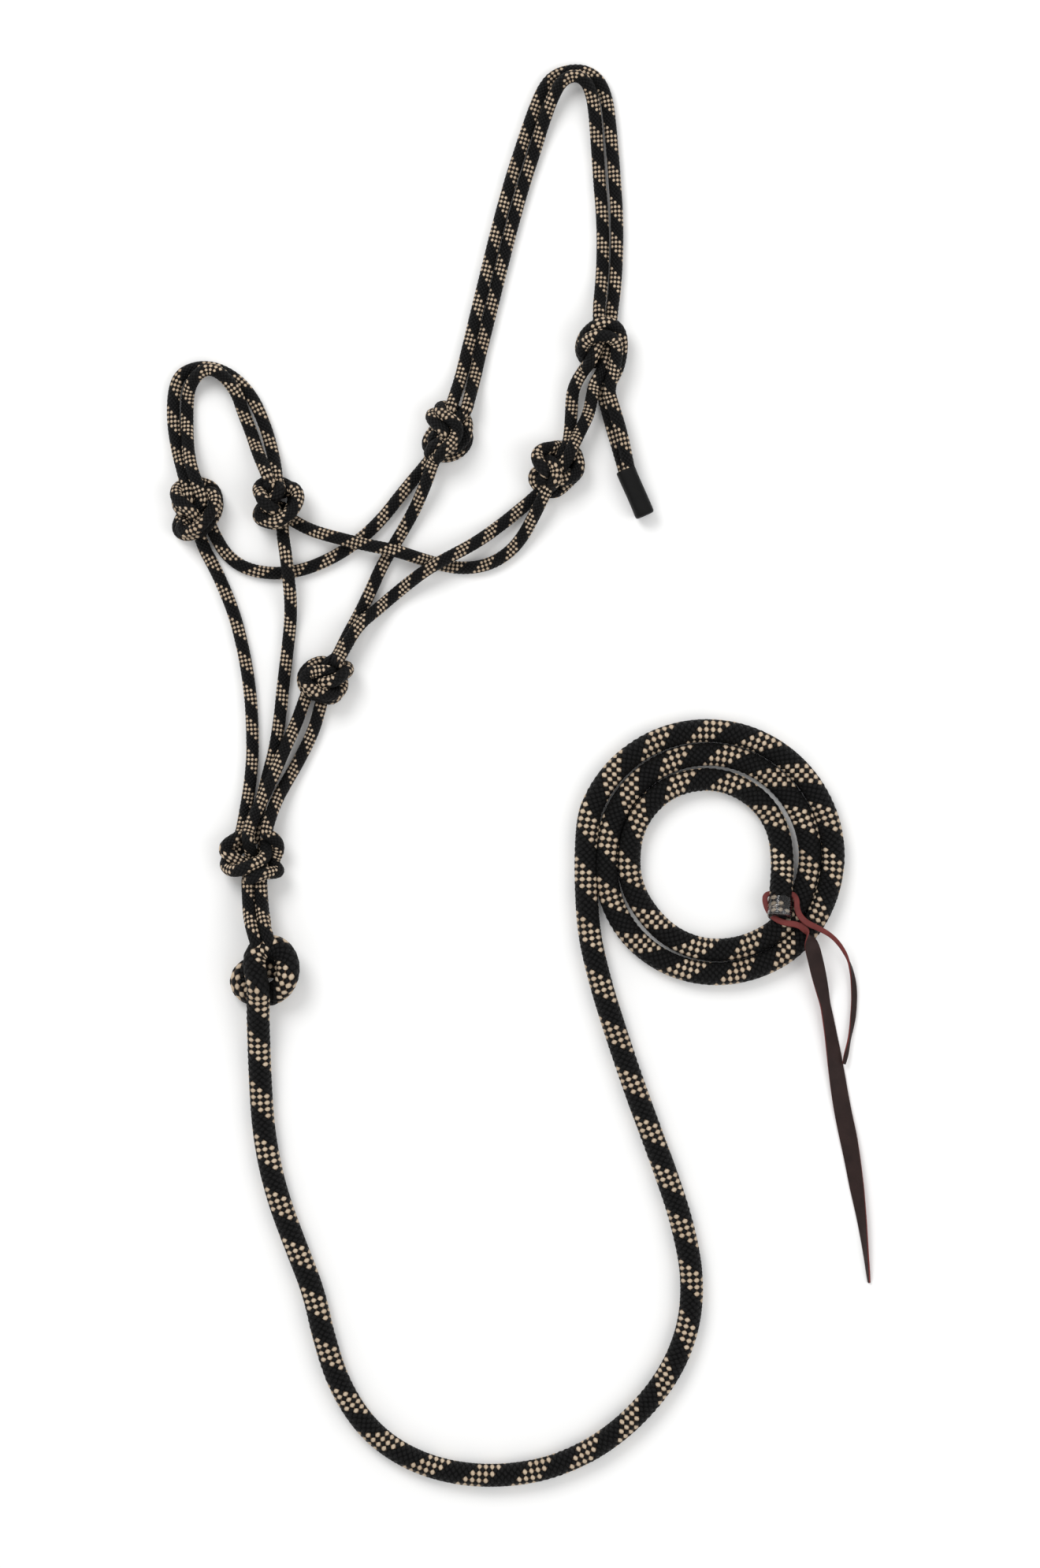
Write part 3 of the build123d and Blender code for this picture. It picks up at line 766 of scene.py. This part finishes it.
# The free end of the crown beyond the tie: two cords, one half on the other.
TAIL_LOWER = [
    (123, 86, 4.3), (127, 71, 4.1), (132, 54.5, 4.15), (137, 37, 4.1),
]
# The upper cord of the crown tail.
TAIL_UPPER = [
    (127, 86.5, 12), (131.5, 72.5, 11.9), (135.6, 56, 11.6), (139, 38, 11.6),
]
# The lower lead loop: out of the fiador knot, round the lead and back.
LEAD_LOOP_LOWER = [
    (-102.5, -220, 6), (-102.2, -228, 5.6), (-101.5, -238.5, 5), (-99.8, -248, 4.4),
    (-95.8, -252, 4.3), (-91.6, -248, 4.4), (-93.3, -238.5, 5), (-94.2, -228, 5.6), (-94.5, -220, 6),
]
# The upper one goes over the arc of the lead's knot and down into the knot.
LEAD_LOOP_UPPER = [
    (-102.5, -220, 14.6), (-102.2, -228, 14.6), (-101.5, -238.5, 17), (-100, -246, 21.5),
    (-98, -252.5, 24), (-96.2, -259, 23), (-92, -264.5, 15), (-88.4, -259, 23), (-89.6, -252.5, 24),
    (-91.8, -246, 21.5), (-93.3, -238.5, 17), (-94.2, -228, 14.6), (-94.5, -220, 14.6),
]
# The lead rope from its knot, round the wide bend, up to where the coil begins.
LEAD_ROPE = [
    (-95.5, -291, 20), (-96, -305.5, 15), (-95.5, -327, 9.5), (-94.5, -354.5, 7.4), (-92, -383.5, 7.4),
    (-85, -415.5, 7.4), (-73.5, -447, 7.4), (-61, -478.5, 7.4), (-54, -511, 7.4), (-42.5, -543.5, 7.4),
    (-21.5, -571.5, 7.4), (10, -589.5, 7.4), (48, -596, 7.4), (88.5, -591, 7.4), (125.5, -573, 7.4),
    (157, -542.5, 7.4), (175, -508.5, 7.4), (179.5, -472.5, 7.4), (172.5, -435, 7.4),
    (159.5, -396.5, 7.4), (143.5, -354, 7.4), (129.5, -312.5, 7.4), (118.5, -276.5, 7.4),
    (111.5, -242.5, 7.4), (108.5, -204, 7.4),
]
# The thong goes through the rope's end, and both its sides meet below the tip.
POPPER_LOOP = [
    (248, -247.2, 18.8), (244, -245.6, 18.8), (240, -245, 18.5), (235.5, -244.4, 18),
    (230, -241.8, 16.8), (226, -237, 15.8), (224, -231, 14.4), (224.6, -226.8, 13), (229, -225.8, 12),
    (237, -225.8, 12), (242, -226.4, 13), (244.4, -230, 16.2), (244, -236, 17.6),
    (246.2, -240.8, 20.4),
]
# The leather popper: the wide strap over the coil and down to the ground.
POPPER_STRAP = [
    (245.6, -246.2, 18.8), (249.6, -248.4, 19), (252, -254.5, 19), (254.8, -263.5, 17.6),
    (258, -276.5, 13), (261.5, -290.5, 6), (265.5, -310.5, 3.2), (269.5, -335.5, 2),
    (273.5, -361.5, 1.4), (279, -386.5, 1.4), (283.5, -414.5, 1.4), (287.5, -440.5, 1.4),
    (291, -473.5, 1.4),
]
# The narrow end of the same thong bows out and comes back onto the strap.
POPPER_LACE = [
    (245, -238.1, 18.8), (246.2, -240.8, 20.4), (250.6, -244.8, 22.6), (257.5, -247.8, 21.5),
    (266, -252.5, 17), (273, -260, 11), (278.5, -270.5, 5.5), (281.5, -285.5, 3), (281, -303.5, 2.4),
    (278, -320.5, 3.4), (274.8, -334.5, 4.6),
]
# The leather's shape: share of its length, its width there, and degrees turned about its line.
LOOP_SHAPE = [(0, 4, 180), (0.4, 3.5, 180), (0.6, 3.2, 180), (0.85, 3.6, 178), (1, 3.8, 180)]
STRAP_SHAPE = [
    (0, 4, 180), (0.018, 4.4, 165), (0.032, 6, 95), (0.048, 8.4, 30), (0.075, 9.8, 4), (0.14, 9.8, 8),
    (0.24, 9.2, 44), (0.33, 9.8, 34), (0.45, 10.6, 8), (0.6, 11.4, -12), (0.74, 10, -30),
    (0.84, 7.6, -48), (0.93, 5, -62), (0.98, 3.4, -66), (1, 1.2, -66),
]
LACE_SHAPE = [
    (0, 3.8, 180), (0.1, 3.8, 180), (0.24, 2.9, 165), (0.36, 2.5, 120), (0.46, 3.2, 50), (0.58, 4, 12),
    (0.74, 4, 20), (0.86, 2.8, 60), (0.97, 3.2, 20), (1, 1.6, 10),
]
LEATHER = 1.6  # thickness
SLEEVE_TOP = (136.2, 42.0, 8)
SLEEVE_END = (148.8, 13.0, 8)
SLEEVE_WIDTH = 12.5
SLEEVE_HEIGHT = 15.8
# The whipping leans with the rope's end, which rides up onto the turn below it.
WHIPPING_TOP = (234.1, -229.6, 13.5)
WHIPPING_TIP = (233.3, -241.4, 18)
WHIPPING_WALL = 0.45
LEAD_END = [(235.8, -208, 7.4), (235, -219, 8.6), (234, -230, 13.6), (233.3, -240.5, 17.6)]
# The coiled lead is a spiral: its middle, and its radius at each eighth of a turn.
COIL_MIDDLE = (187, -202)
COIL_RADII = [
    78.5, 79, 79.5, 80.3, 81.6, 80.8, 75.5, 69.5, 62.8, 63.2, 64.4, 65.3, 66.8, 66, 60.2, 52.3, 48.6,
    48.4, 48.3, 48.4, 48.9,
]
COIL_POINTS = 3  # for each eighth of a turn
COIL_HEIGHT = 7.4

# Strands of the knots, listed as the cords are. Each leads from one cord of the knot to
# another, and the lead's own begins inside its knot. The settling moves them off each other.
NOSE_KNOT_LEFT = [
    [(-140.5, 27, 12.8), (-140, 22.5, 12.5), (-140.5, 18, 7), (-143.5, 13.5, 5), (-147, 9, 4.5),
     (-148.5, 5, 4.5), (-147, 1.5, 4.5), (-142.5, 0, 5), (-137.5, 1, 8), (-132.5, 3, 12.3),
     (-127.5, 7.5, 12.3), (-123, 12.5, 10), (-121.5, 18.5, 6), (-122.5, 24.5, 4.5),
     (-126.5, 29.5, 4.1), (-132.5, 31.5, 4.1), (-138.5, 32, 4.1), (-143.5, 30.5, 8), (-147, 27.5, 12),
     (-148, 24, 16), (-145, 20.5, 19), (-141, 18, 19.5), (-137, 14.5, 17), (-134.5, 11, 10),
     (-134.5, 7.5, 5), (-134.5, 4.5, 4.3)],
    [(-132.5, 27, 14.5), (-131.5, 22.5, 14), (-132.5, 18, 11), (-136, 13.5, 9), (-141, 9.5, 10),
     (-144.5, 6.5, 12.3), (-146.5, 3.5, 12.5), (-143.5, 1, 12.5), (-139, 2, 14), (-133.5, 5, 20),
     (-129, 9.5, 20.5), (-125, 14.5, 18), (-122, 19.5, 13.5), (-123, 24.5, 12.3), (-126, 28.5, 8),
     (-130.5, 29.5, 4.5), (-134.5, 27.5, 4.1), (-139, 27.5, 4.1), (-143, 26.5, 4.1), (-146, 24.5, 6),
     (-145.5, 20.5, 10), (-143.5, 17.5, 12.5), (-140, 14.5, 13), (-136.5, 12.5, 10), (-131.5, 11, 5),
     (-127.5, 8.5, 4.3)],
]
NOSE_KNOT_RIGHT = [
    [(-90, 38, 17.5), (-88, 32.5, 15), (-88.5, 27.5, 8), (-90.5, 23, 5.5), (-94, 19, 4.5),
     (-97, 15, 4.4), (-97.5, 11.5, 4.4), (-94.5, 9.5, 5), (-90, 8.5, 8), (-85, 9.5, 12.3),
     (-80, 11.5, 12.3), (-76, 15.5, 11), (-73.5, 20.5, 8), (-73.5, 25, 5), (-75.5, 29, 4.5),
     (-79, 31.5, 4.1), (-84.5, 32.5, 4.1), (-88.5, 32.5, 4.5), (-92, 31, 8), (-93.5, 28, 13),
     (-93, 24.5, 17), (-92, 20.5, 19.5), (-89, 18, 19.5), (-85, 15.5, 15), (-82.5, 13, 9),
     (-81.5, 10, 5), (-81, 7.5, 4.5)],
    [(-84.5, 38, 11.5), (-83, 32.5, 12.6), (-84, 27.5, 12), (-86, 23.5, 9.5), (-89.5, 20, 9),
     (-93.5, 16.5, 10), (-96, 14, 12), (-96, 11, 12.5), (-93, 10, 12.5), (-88.5, 8.5, 13),
     (-83.5, 8.5, 18), (-79, 10.5, 20), (-74.5, 14, 19.5), (-71, 19, 17), (-69.5, 24, 13.5),
     (-71, 28.5, 11), (-74.5, 31.5, 7), (-79, 32.5, 4.5), (-83.5, 29.5, 4.3), (-88, 28, 4.5),
     (-91.5, 27.5, 6), (-92, 23.5, 8.5), (-90, 20, 12), (-86, 17.5, 11), (-80.5, 14.5, 7),
     (-76.5, 12, 5), (-73.5, 9.5, 4.5)],
]
THROAT_KNOT_LEFT = [
    [(26, 81, 12), (25, 77.5, 12), (23, 74, 9), (20, 70, 5.5), (15.5, 67, 4.3), (12, 63, 4.3),
     (10.5, 59, 4.3), (10.5, 55, 4.3), (13.5, 52, 4.3), (18, 50, 4.3), (24, 50, 4.5), (29.5, 52, 5),
     (34, 55.5, 6), (36.5, 60, 7), (37, 65, 7), (35.5, 69.5, 6), (32, 73, 4.8), (27.5, 76, 4.3),
     (22.5, 78, 4.3), (17.5, 79, 5), (14, 78, 9), (13.5, 75, 13), (16, 71, 17), (20.5, 67.5, 19),
     (24.5, 64.5, 19.5), (25, 61.5, 18), (22.5, 58, 17), (19, 55.5, 16), (16, 52, 14),
     (13.5, 48.5, 10), (11, 46.5, 6.5)],
    [(36, 81, 13), (34, 78, 12.5), (31, 74.5, 11.5), (27, 71, 10), (22.5, 67.5, 8.8), (17.5, 65, 8.5),
     (14, 62.5, 10), (12.5, 59, 12.4), (13.5, 55, 12.5), (17, 53.5, 12.4), (22, 53.5, 12.6),
     (27, 55, 13), (31.5, 57, 13.8), (35, 60.5, 15), (36.5, 65, 15), (35, 69.5, 13), (32, 72.5, 8),
     (28.5, 75.5, 5), (24, 77, 4.8), (21, 77.5, 9), (20.5, 76.5, 15), (23, 75, 19.5), (27.5, 72.5, 20),
     (30.5, 69.5, 20), (31, 65.5, 19.5), (29.5, 62, 19), (26, 59, 18.5), (22.5, 56, 18.5),
     (19.5, 53, 18.5), (17.5, 49.5, 17), (14, 44.5, 14.2)],
]
THROAT_KNOT_RIGHT = [
    [(100.5, 61, 9.5), (97.5, 54, 11.5), (95.5, 49, 12), (92.5, 45, 9), (89, 42, 6), (85, 40.5, 4.5),
     (81, 40.5, 4.3), (79, 39, 5), (79.5, 37, 8), (83, 36.5, 12), (87, 35.5, 13), (92, 34.5, 14),
     (97, 34.5, 16), (102, 36, 17.5), (105.5, 39, 17), (107.5, 43.5, 14), (106.5, 48, 10),
     (103.5, 51, 6), (99.5, 53, 4.3), (94, 54, 4.3), (88.5, 54, 6), (83.5, 53, 10), (80.5, 51.5, 13),
     (79.5, 48.5, 16), (82, 45.5, 19), (85.5, 42.5, 20), (88.5, 39, 18), (89, 35.5, 11), (87, 32.5, 5),
     (84, 29.5, 5)],
    [(105, 60.5, 15), (102, 54, 16.5), (99.5, 49, 14.5), (97, 45, 13.5), (94, 41.5, 11),
     (89.5, 39, 9.5), (85, 38.5, 10), (81, 39, 12), (80, 37.5, 13), (82.5, 35, 10), (86.5, 32.5, 6),
     (91, 30.5, 4.5), (95, 29.5, 4.5), (97.5, 31.5, 4.5), (100, 35, 5), (103.5, 37.5, 7),
     (107, 40.5, 7), (108, 44.5, 5.5), (106.5, 48.5, 4.5), (102.5, 51, 4.3), (98.5, 51, 4.5),
     (94, 50.5, 5), (89, 50.5, 8), (85, 50, 10), (83, 47.5, 12), (85, 44.5, 13), (88, 41, 15),
     (91, 37, 16), (90.5, 33, 14), (88.5, 30, 13), (86, 28, 14)],
]
CHIN_KNOT = [
    [(-45.5, -75, 7), (-50.5, -79, 11), (-51.5, -83, 10), (-51, -86.5, 7), (-49, -90.5, 5),
     (-46, -94, 4.4), (-44.5, -97, 4.3), (-45, -100.5, 4.3), (-47.5, -102.5, 4.5), (-52, -102.5, 6),
     (-56, -101.5, 9), (-60, -100, 12), (-64, -98, 12.5), (-67, -95, 12), (-68.5, -91, 10),
     (-68, -87.5, 7), (-65.5, -84, 5), (-62, -81, 4.3), (-57.5, -79, 4.3), (-53, -79, 4.3),
     (-48, -79.5, 5), (-44.5, -81.5, 8), (-42.5, -84, 12), (-42.5, -87.5, 16), (-46, -90, 19),
     (-51, -92, 20), (-56, -93, 19), (-60, -94.5, 16), (-63.5, -96.5, 10), (-66, -99.5, 5.5),
     (-66.5, -102.5, 5)],
    [(-43.5, -75.5, 15.5), (-46, -79, 18), (-47, -83, 15), (-47, -87, 10), (-46, -90.5, 9),
     (-44.5, -94.5, 10), (-44, -98, 12), (-45.5, -100.5, 12.5), (-49, -102, 12.5), (-53, -101, 13),
     (-57.5, -99, 15), (-62, -97, 17.5), (-65.5, -95, 18.5), (-67.5, -91.5, 18), (-66.5, -88, 16),
     (-64, -86, 17), (-60, -86, 19.5), (-55.5, -86.5, 21), (-51, -86, 21), (-47, -86, 19),
     (-44, -87.5, 15), (-44, -90, 11.5), (-46.5, -92.5, 12), (-50, -94.5, 11), (-53, -97, 8),
     (-55, -100, 5), (-56, -103, 4.4), (-56.5, -106, 5)],
]
FIADOR_KNOT = [
    [(-106.5, -186, 8), (-107.5, -190, 10), (-111.5, -192.5, 13), (-117, -195, 15), (-119, -198.5, 15),
     (-116, -202, 16), (-111.5, -204.5, 18), (-106, -207.5, 18.5), (-100.5, -209.5, 17),
     (-96.5, -211.5, 13), (-95, -214.5, 14), (-94.5, -220, 14.6)],
    [(-101.5, -186, 16.3), (-102, -193, 19), (-100.5, -198, 20.5), (-100.5, -203.5, 20),
     (-101.5, -207.5, 14), (-102, -210.5, 7), (-103, -214.5, 5.5), (-102.5, -220, 6)],
    [(-98, -186, 7), (-99, -192, 5), (-103, -195.5, 4.3), (-109, -198, 4.3), (-114.5, -202.5, 4.3),
     (-118, -207, 5), (-116.5, -210.5, 9), (-111, -211.5, 13), (-104.5, -211.5, 17),
     (-98.5, -209.5, 20), (-93.5, -206, 20), (-89.5, -202, 18), (-89, -196.5, 16), (-90, -192, 11),
     (-92.5, -192.5, 5), (-93.5, -198, 4.3), (-94, -204.5, 4.3), (-94.5, -211.5, 4.5),
     (-94.5, -220, 6)],
    [(-90.5, -186, 15.3), (-89.5, -189, 15), (-86.5, -191, 15), (-83.5, -194.5, 13), (-83.5, -199, 11),
     (-85.5, -203, 8), (-88, -206.5, 5.5), (-85.5, -210, 4.5), (-82.5, -211, 6), (-82, -213, 11),
     (-87, -213, 16), (-92, -213, 19.5), (-97, -213.5, 20.5), (-100.5, -215, 19), (-102, -218, 16),
     (-102.5, -220, 14.6)],
]
CROWN_TIE = [
    [(127.5, 140, 5), (127, 131.5, 4.3), (126.5, 123, 4.3), (124, 114.5, 4.3), (118.5, 109, 4.3),
     (112, 110, 4.5), (108.5, 114.5, 6), (107.5, 120.5, 10), (110, 126.5, 15), (114.5, 131, 19),
     (120, 134.5, 20), (126.5, 134.5, 20), (131.5, 131.5, 18), (133.5, 127, 15), (134, 121.5, 12),
     (133.5, 114, 10), (132, 107, 8), (129.5, 101.5, 6), (125.5, 95.5, 5), (122.5, 90, 4.4),
     (123, 86, 4.3)],
    [(119.5, 140, 11.5), (119.5, 132.5, 9), (119.5, 125, 5), (119, 118, 4.3), (116, 113.5, 5),
     (111.5, 112, 9), (108, 114.5, 14), (108, 118.5, 18), (111, 123, 21), (116, 125.5, 21.5),
     (122, 126, 21.5), (128, 125, 21), (131, 122, 19), (131, 116, 17), (130, 109, 15),
     (128, 102.5, 14), (126.5, 96.5, 13), (126, 91, 12.5), (127, 86.5, 12)],
    [(107.2, 100.5, 10.8), (111.5, 107, 12.3), (116, 113.5, 13), (119, 119.5, 12.8), (120, 125, 12.8),
     (122.5, 128.5, 12.6), (124.5, 125, 12.8), (125.5, 118, 13), (124, 110.5, 13),
     (121.5, 103.5, 12.8), (118.5, 98.5, 12), (116, 93, 11)],
]
LEAD_KNOT = [
    [(-82, -273.5, 7.4), (-86, -273, 7.4), (-90.5, -272, 7.4), (-94.5, -271.5, 7.4), (-101, -272, 7.4),
     (-107, -275.5, 7.4), (-110, -281, 7.4), (-108.5, -286.5, 7.5), (-102.5, -291, 7.5),
     (-95.5, -292.5, 7.5), (-88, -291.5, 8), (-80.5, -287, 10), (-76.5, -279, 13), (-75, -271, 14.5),
     (-77.5, -263.5, 12), (-83, -258, 9), (-89.5, -257, 7.6), (-95.5, -260, 7.8), (-98.5, -265, 16),
     (-99, -270.5, 22.5), (-97, -276, 23.5), (-96, -281.5, 23.5), (-95, -287, 22.5),
     (-95.5, -291, 20)],
]
HALTER_KNOTS = {
    "nose_knot_left": NOSE_KNOT_LEFT,
    "nose_knot_right": NOSE_KNOT_RIGHT,
    "throat_knot_left": THROAT_KNOT_LEFT,
    "throat_knot_right": THROAT_KNOT_RIGHT,
    "chin_knot": CHIN_KNOT,
    "fiador_knot": FIADOR_KNOT,
    "crown_tie": CROWN_TIE,
}

HALTER_ROUTES = {
    "noseband_cord_outer": NOSEBAND_OUTER,
    "noseband_cord_inner": NOSEBAND_INNER,
    "jaw_cord_left": JAW_LEFT,
    "jaw_cord_right": JAW_RIGHT,
    "cheek_cord_left": CHEEK_LEFT,
    "cheek_cord_right": CHEEK_RIGHT,
    "throat_cord_left": THROAT_LEFT,
    "throat_cord_right": THROAT_RIGHT,
    "chin_cord_left": CHIN_LEFT,
    "chin_cord_right": CHIN_RIGHT,
    "crown_cord_outer": CROWN_OUTER,
    "crown_cord_inner": CROWN_INNER,
    "eye_cord_left": EYE_LEFT,
    "eye_cord_right": EYE_RIGHT,
    "lead_loop_lower": LEAD_LOOP_LOWER,
    "lead_loop_upper": LEAD_LOOP_UPPER,
}
TAIL_ROUTES = {"tail_cord_lower": TAIL_LOWER, "tail_cord_upper": TAIL_UPPER}
POPPER = {
    "popper_loop": (POPPER_LOOP, LOOP_SHAPE, "lead"),
    "popper_strap": (POPPER_STRAP, STRAP_SHAPE, "popper"),
    "popper_lace": (POPPER_LACE, LACE_SHAPE, "popper"),
}

# ---------------- pieces


def coil_points():
    """Clockwise from the left side, inwards."""
    points = []
    eighths = np.arange(len(COIL_RADII))
    for k in range(1, (len(COIL_RADII) - 1) * COIL_POINTS):
        eighth = k / COIL_POINTS
        radius = np.interp(eighth, eighths, COIL_RADII)
        angle = math.pi - eighth * math.pi / 4
        x = COIL_MIDDLE[0] + radius * math.cos(angle)
        y = COIL_MIDDLE[1] + radius * math.sin(angle)
        points.append((x, y, COIL_HEIGHT))
    return points


def put(piece, nodes, body):
    """Hides the model's parts for the nodes a piece stands for, and hangs the piece on the body it
    rides on.
    """
    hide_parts(*nodes)
    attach(piece, body)


def make_halter_cords(rope):
    for node, points in HALTER_ROUTES.items():
        line = smooth_line(in_metres(points))
        piece = rope.mesh(node + "_braid", [line])
        put(piece, [node], "halter")


def make_crown_tail(rope):
    """The crown's two ends, and the sleeve on them, which rides on the crown tail's body."""
    for node, points in TAIL_ROUTES.items():
        piece = rope.mesh(node + "_braid", [smooth_line(in_metres(points))])
        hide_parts(node)
        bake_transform(piece)
    put(make_sleeve(sleeve_material()), ["tail_sleeve"], "crown_tail")


def make_lead(rope):
    """The lead as one braid from its knot to its tip, with the whipping and the popper on it."""
    line = smooth_line(in_metres(LEAD_ROPE[:-1] + coil_points() + LEAD_END))
    lead = rope.mesh("lead_rope_braid", [line])
    put(lead, ["lead_rope", "lead_coil", "lead_rope_end"], "lead")
    whipping = make_whipping(whipping_material())
    put(whipping, ["lead_end_whipping"], "lead")
    leather = leather_material()
    for node, (route, shape, body) in POPPER.items():
        piece = make_thong(node + "_leather", route, shape, leather)
        put(piece, [node], body)


def make_knot(node, routes, rope, body, ceiling):
    cords = [*HALTER_ROUTES.values(), *TAIL_ROUTES.values(), LEAD_ROPE]
    lines = [smooth_line(in_metres(join_cords(route, cords))) for route in routes]
    piece = rope.mesh(node + "_braid", settle(lines, rope.diameter, ceiling))
    put(piece, [node], body)


# ---------------- making
make_camera()
halter_yarn = braid_material("halter_braid", 0.0005, HALTER_TAN)
lead_yarn = braid_material("lead_braid", 0.0009, LEAD_TAN)
halter_rope = Rope(CORD, pick=2.75 * MM, around=48, relief=0.55 * MM, material=halter_yarn)
lead_rope = Rope(LEAD, pick=4.2 * MM, around=56, relief=0.95 * MM, material=lead_yarn)
make_halter_cords(halter_rope)
make_crown_tail(halter_rope)
make_lead(lead_rope)
for knot, strands in HALTER_KNOTS.items():
    make_knot(knot, strands, halter_rope, "halter", HALTER_CEILING)
make_knot("lead_knot", LEAD_KNOT, lead_rope, "lead", LEAD_CEILING)
make_floor()
make_light()
